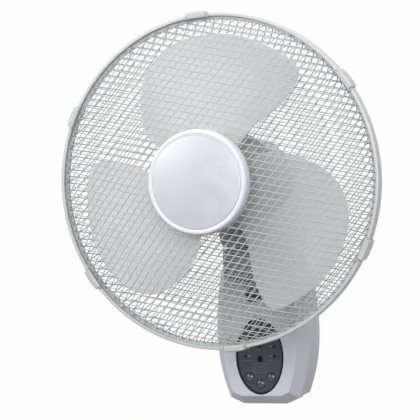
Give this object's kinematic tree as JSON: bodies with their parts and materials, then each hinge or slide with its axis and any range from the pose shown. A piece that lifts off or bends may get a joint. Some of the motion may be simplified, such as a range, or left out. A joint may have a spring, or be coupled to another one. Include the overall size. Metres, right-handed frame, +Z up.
{
  "type": "wall mounted fan",
  "caption": "Wall mounted fan with a crossed-wire guard, rim clips, translucent blades, a tilting and swinging neck and a shield-shaped wall base with push buttons.",
  "frame": {"origin": "middle of the wall plate's back face, on the wall", "axes": "X to the right seen from the front, Y into the wall, Z up; the fan blows along -Y"},
  "size_m": [0.43, 0.2946, 0.5198],
  "materials": {
    "white_gloss": "smooth gloss moulding",
    "base_silver": "silver-grey gloss plastic",
    "fascia_black": "dark smoked panel",
    "window_black": "near-black lens",
    "lamp_lens": "clear grey lens",
    "button_grey": "dark grey moulding",
    "board_green": "lacquered board",
    "dark_plastic": "fine-grained moulding",
    "neck_grey": "dark grey moulding",
    "blade_clear": "translucent grey moulding",
    "motor_grey": "grey moulding",
    "rim_silver": "silver gloss moulding",
    "cap_white": "gloss moulding",
    "cap_silver": "satin silver disc",
    "wire_steel": "coated wire",
    "zinc_steel": "zinc plated",
    "bearing_steel": "ground steel",
    "winding_copper": "enamelled copper",
    "core_steel": "stacked sheets",
    "cast_alloy": "die cast",
    "gear_nylon": "nylon",
    "gland_rubber": "moulded rubber"
  },
  "bodies": {
    "base": {"wall_plate": "zinc_steel", "rear_shell": "base_silver", "front_shell": "base_silver", "fascia": "fascia_black", "indicator_lenses": "lamp_lens", "ir_window": "window_black", "control_board": "board_green", "tact_switches": "dark_plastic", "run_capacitor": "dark_plastic", "terminal_block": "gear_nylon", "cord_gland": "gland_rubber", "shell_screws": "zinc_steel", "tilt_bracket": "zinc_steel", "bracket_screws": "zinc_steel", "tilt_bolt": "zinc_steel", "tilt_nut": "zinc_steel"},
    "left_button": {"button_left": "button_grey"},
    "right_button": {"button_right": "button_grey"},
    "centre_button": {"button_centre": "button_grey"},
    "neck": {"neck_arm": "neck_grey", "neck_cover": "neck_grey", "neck_cover_screws": "zinc_steel", "swing_motor": "zinc_steel"},
    "pinion": {"swing_pinion": "gear_nylon"},
    "head": {"swivel_post": "zinc_steel", "thrust_washer": "gear_nylon", "swing_gear": "gear_nylon", "gearbox_housing": "neck_grey", "housing_screws": "zinc_steel", "motor_front_cover": "motor_grey", "motor_rear_cover": "motor_grey", "motor_front_bracket": "cast_alloy", "motor_rear_bracket": "cast_alloy", "motor_bolts": "zinc_steel", "stator_core": "core_steel", "stator_windings": "winding_copper", "motor_bearings": "bearing_steel", "guard_lock_nut": "white_gloss", "rear_guard_plate": "wire_steel", "rear_guard_hoop": "wire_steel", "rear_guard_wires": "wire_steel", "rim_ring": "rim_silver", "front_guard_hoop": "wire_steel", "front_guard_wires": "wire_steel", "front_guard_plate": "wire_steel", "centre_cap": "cap_white", "cap_disc": "cap_silver", "cap_screw": "zinc_steel", "clip_pins": "bearing_steel"},
    "rotor": {"rotor_shaft": "bearing_steel", "rotor_core": "core_steel", "drive_pin": "bearing_steel", "fan_blade": "blade_clear", "blade_nut": "white_gloss"},
    "clip_1": {"guard_clip_1": "rim_silver"},
    "clip_2": {"guard_clip_2": "rim_silver"},
    "clip_3": {"guard_clip_3": "rim_silver"},
    "clip_4": {"guard_clip_4": "rim_silver"},
    "clip_5": {"guard_clip_5": "rim_silver"},
    "clip_6": {"guard_clip_6": "rim_silver"}
  },
  "joints": [
    {"name": "left_button_press", "type": "slide", "parent": "base", "child": "left_button", "axis": [0, 1, 0], "range_m": [0, 0.0006], "stiffness_N_per_m": 800, "springref_m": -0.0006},
    {"name": "right_button_press", "type": "slide", "parent": "base", "child": "right_button", "axis": [0, 1, 0], "range_m": [0, 0.0006], "stiffness_N_per_m": 800, "springref_m": -0.0006},
    {"name": "centre_button_press", "type": "slide", "parent": "base", "child": "centre_button", "axis": [0, 1, 0], "range_m": [0, 0.0006], "stiffness_N_per_m": 800, "springref_m": -0.0006},
    {"name": "neck_tilt", "type": "hinge", "parent": "base", "child": "neck", "pos_m": [0, -0.052, 0.07], "axis": [1, 0, 0], "range_deg": [-10, 30]},
    {"name": "head_swing", "type": "hinge", "parent": "neck", "child": "head", "pos_m": [0, -0.118, 0.104], "axis": [0, 0, 1], "range_deg": [-40, 40]},
    {"name": "pinion_spin", "type": "hinge", "parent": "neck", "child": "pinion", "pos_m": [0, -0.101, 0.095], "axis": [0, 0, 1], "range_deg": [-80, 80]},
    {"name": "rotor_spin", "type": "hinge", "parent": "head", "child": "rotor", "pos_m": [0, -0.22, 0.192], "axis": [0, -1, 0], "continuous": true},
    {"name": "clip_1_open", "type": "hinge", "parent": "head", "child": "clip_1", "pos_m": [0.17202, -0.2248, 0.31245], "axis": [0.5736, 0, -0.8192], "range_deg": [0, 60]},
    {"name": "clip_2_open", "type": "hinge", "parent": "head", "child": "clip_2", "pos_m": [-0.0183, -0.2248, 0.4012], "axis": [0.9962, 0, 0.0872], "range_deg": [0, 60]},
    {"name": "clip_3_open", "type": "hinge", "parent": "head", "child": "clip_3", "pos_m": [-0.19032, -0.2248, 0.28075], "axis": [0.4226, 0, 0.9063], "range_deg": [0, 60]},
    {"name": "clip_4_open", "type": "hinge", "parent": "head", "child": "clip_4", "pos_m": [-0.17202, -0.2248, 0.07155], "axis": [-0.5736, 0, 0.8192], "range_deg": [0, 60]},
    {"name": "clip_5_open", "type": "hinge", "parent": "head", "child": "clip_5", "pos_m": [0.0183, -0.2248, -0.0172], "axis": [-0.9962, 0, -0.0872], "range_deg": [0, 60]},
    {"name": "clip_6_open", "type": "hinge", "parent": "head", "child": "clip_6", "pos_m": [0.19032, -0.2248, 0.10325], "axis": [-0.4226, 0, -0.9063], "range_deg": [0, 60]}
  ],
  "couplings": [
    {"joint": "pinion_spin", "follows": "head_swing", "ratio": -1.8333}
  ]
}
